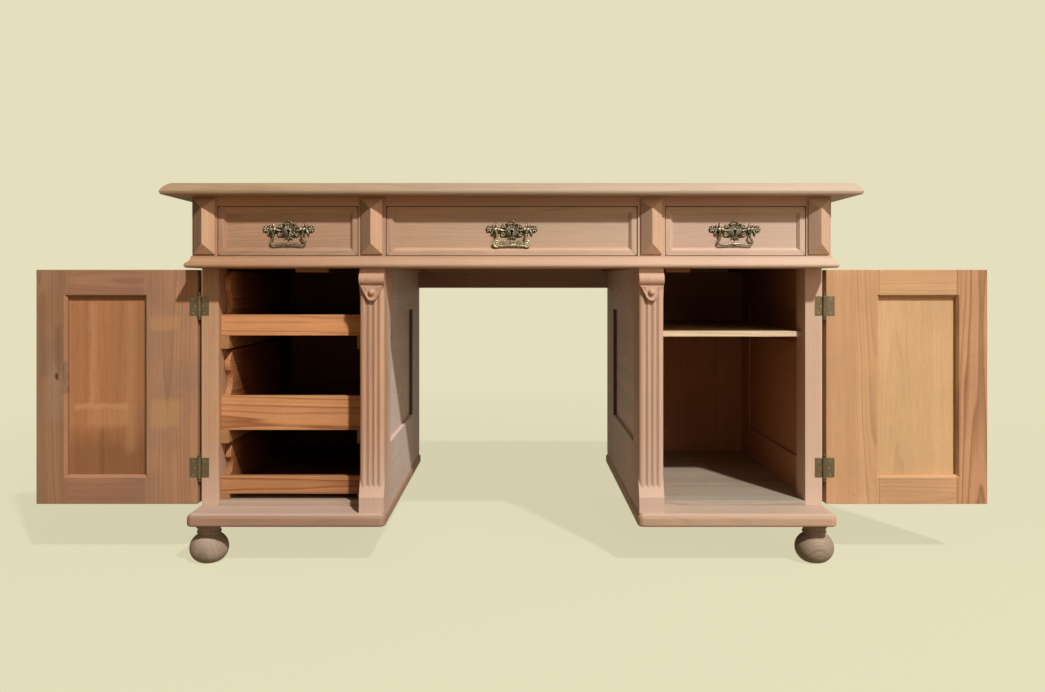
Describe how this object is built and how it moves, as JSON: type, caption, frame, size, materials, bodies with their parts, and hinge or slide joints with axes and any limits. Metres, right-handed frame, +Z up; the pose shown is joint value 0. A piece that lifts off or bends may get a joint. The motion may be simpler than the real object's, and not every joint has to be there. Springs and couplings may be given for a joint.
{
  "type": "writing desk with drawers",
  "caption": "Kneehole pedestal desk in stripped wood with frieze drawers, drop handles, swinging cupboard doors, pull-out trays, fluted pilasters and ball feet.",
  "frame": {"origin": "on the floor, below the middle of the table top", "axes": "+X to the sitter's right, +Y from the drawer fronts to the back, +Z up"},
  "size_m": [2.001, 0.745, 0.78],
  "materials": {
    "top_wood": "stripped, bare",
    "frieze_wood": "stripped, bare",
    "pedestal_wood": "stripped, bare",
    "inner_wood": "raw, aged",
    "tray_pine": "raw, aged",
    "drawer_front_wood": "stripped, bare",
    "drawer_box_wood": "raw",
    "left_door_wood": "raw, aged",
    "right_door_wood": "raw, aged",
    "foot_wood": "weathered",
    "hinge_brass": "dull, aged",
    "handle_brass": "antique patina",
    "lock_steel": "dull iron"
  },
  "bodies": {
    "carcass": {"table_top": "top_wood", "frieze_top_rail": "frieze_wood", "frieze_posts": "frieze_wood", "post_diamonds": "frieze_wood", "frieze_sides": "frieze_wood", "frieze_back": "frieze_wood", "waist_moulding": "frieze_wood", "frieze_partitions": "inner_wood", "drawer_runners": "inner_wood", "drawer_kickers": "inner_wood", "dust_boards": "inner_wood", "door_stops": "inner_wood", "tray_runners": "tray_pine", "cupboard_shelf": "inner_wood", "shelf_ledges": "inner_wood", "pedestal_floors": "inner_wood", "ball_feet": "foot_wood", "door_posts": "pedestal_wood", "hinge_post_leaves": "hinge_brass", "hinge_pins": "hinge_brass", "left_outer_frame": "pedestal_wood", "left_inner_frame": "pedestal_wood", "left_side_panels": "pedestal_wood", "left_back": "pedestal_wood", "left_plinth": "pedestal_wood", "left_pilaster": "pedestal_wood", "right_outer_frame": "pedestal_wood", "right_inner_frame": "pedestal_wood", "right_side_panels": "pedestal_wood", "right_back": "pedestal_wood", "right_plinth": "pedestal_wood", "right_pilaster": "pedestal_wood"},
    "left_drawer": {"left_drawer_front": "drawer_front_wood", "left_drawer_box": "drawer_box_wood", "left_drawer_plate": "handle_brass", "left_drawer_lock": "lock_steel"},
    "left_bail": {"left_drawer_bail": "handle_brass"},
    "left_bolt": {"left_drawer_bolt": "lock_steel"},
    "centre_drawer": {"centre_drawer_front": "drawer_front_wood", "centre_drawer_box": "drawer_box_wood", "centre_drawer_plate": "handle_brass", "centre_drawer_lock": "lock_steel"},
    "centre_bail": {"centre_drawer_bail": "handle_brass"},
    "centre_bolt": {"centre_drawer_bolt": "lock_steel"},
    "right_drawer": {"right_drawer_front": "drawer_front_wood", "right_drawer_box": "drawer_box_wood", "right_drawer_plate": "handle_brass", "right_drawer_lock": "lock_steel"},
    "right_bail": {"right_drawer_bail": "handle_brass"},
    "right_bolt": {"right_drawer_bolt": "lock_steel"},
    "left_door": {"left_door_frame": "left_door_wood", "left_door_panel": "left_door_wood", "left_door_hinge_leaves": "hinge_brass"},
    "right_door": {"right_door_frame": "right_door_wood", "right_door_panel": "right_door_wood", "right_door_hinge_leaves": "hinge_brass"},
    "low_tray": {"low_tray": "tray_pine"},
    "middle_tray": {"middle_tray": "tray_pine"},
    "high_tray": {"high_tray": "tray_pine"}
  },
  "joints": [
    {"name": "left_drawer_slide", "type": "slide", "parent": "carcass", "child": "left_drawer", "axis": [0, -1, 0], "range_m": [0, 0.4]},
    {"name": "left_bail_swing", "type": "hinge", "parent": "left_drawer", "child": "left_bail", "pos_m": [-0.457, -0.328, 0.689], "axis": [-1, 0, 0], "range_deg": [0, 95]},
    {"name": "left_bolt_throw", "type": "slide", "parent": "left_drawer", "child": "left_bolt", "axis": [0, 0, 1], "range_m": [0, 0.008]},
    {"name": "centre_drawer_slide", "type": "slide", "parent": "carcass", "child": "centre_drawer", "axis": [0, -1, 0], "range_m": [0, 0.4]},
    {"name": "centre_bail_swing", "type": "hinge", "parent": "centre_drawer", "child": "centre_bail", "pos_m": [0, -0.328, 0.689], "axis": [-1, 0, 0], "range_deg": [0, 95]},
    {"name": "centre_bolt_throw", "type": "slide", "parent": "centre_drawer", "child": "centre_bolt", "axis": [0, 0, 1], "range_m": [0, 0.008]},
    {"name": "right_drawer_slide", "type": "slide", "parent": "carcass", "child": "right_drawer", "axis": [0, -1, 0], "range_m": [0, 0.4]},
    {"name": "right_bail_swing", "type": "hinge", "parent": "right_drawer", "child": "right_bail", "pos_m": [0.457, -0.328, 0.689], "axis": [-1, 0, 0], "range_deg": [0, 95]},
    {"name": "right_bolt_throw", "type": "slide", "parent": "right_drawer", "child": "right_bolt", "axis": [0, 0, 1], "range_m": [0, 0.008]},
    {"name": "left_door_hinge", "type": "hinge", "parent": "carcass", "child": "left_door", "pos_m": [-0.657, -0.27, 0.36], "axis": [0, 0, -1], "range_deg": [-180, 0]},
    {"name": "right_door_hinge", "type": "hinge", "parent": "carcass", "child": "right_door", "pos_m": [0.657, -0.27, 0.36], "axis": [0, 0, 1], "range_deg": [-180, 0]},
    {"name": "low_tray_slide", "type": "slide", "parent": "carcass", "child": "low_tray", "axis": [0, -1, 0], "range_m": [0, 0.35]},
    {"name": "middle_tray_slide", "type": "slide", "parent": "carcass", "child": "middle_tray", "axis": [0, -1, 0], "range_m": [0, 0.35]},
    {"name": "high_tray_slide", "type": "slide", "parent": "carcass", "child": "high_tray", "axis": [0, -1, 0], "range_m": [0, 0.35]}
  ]
}
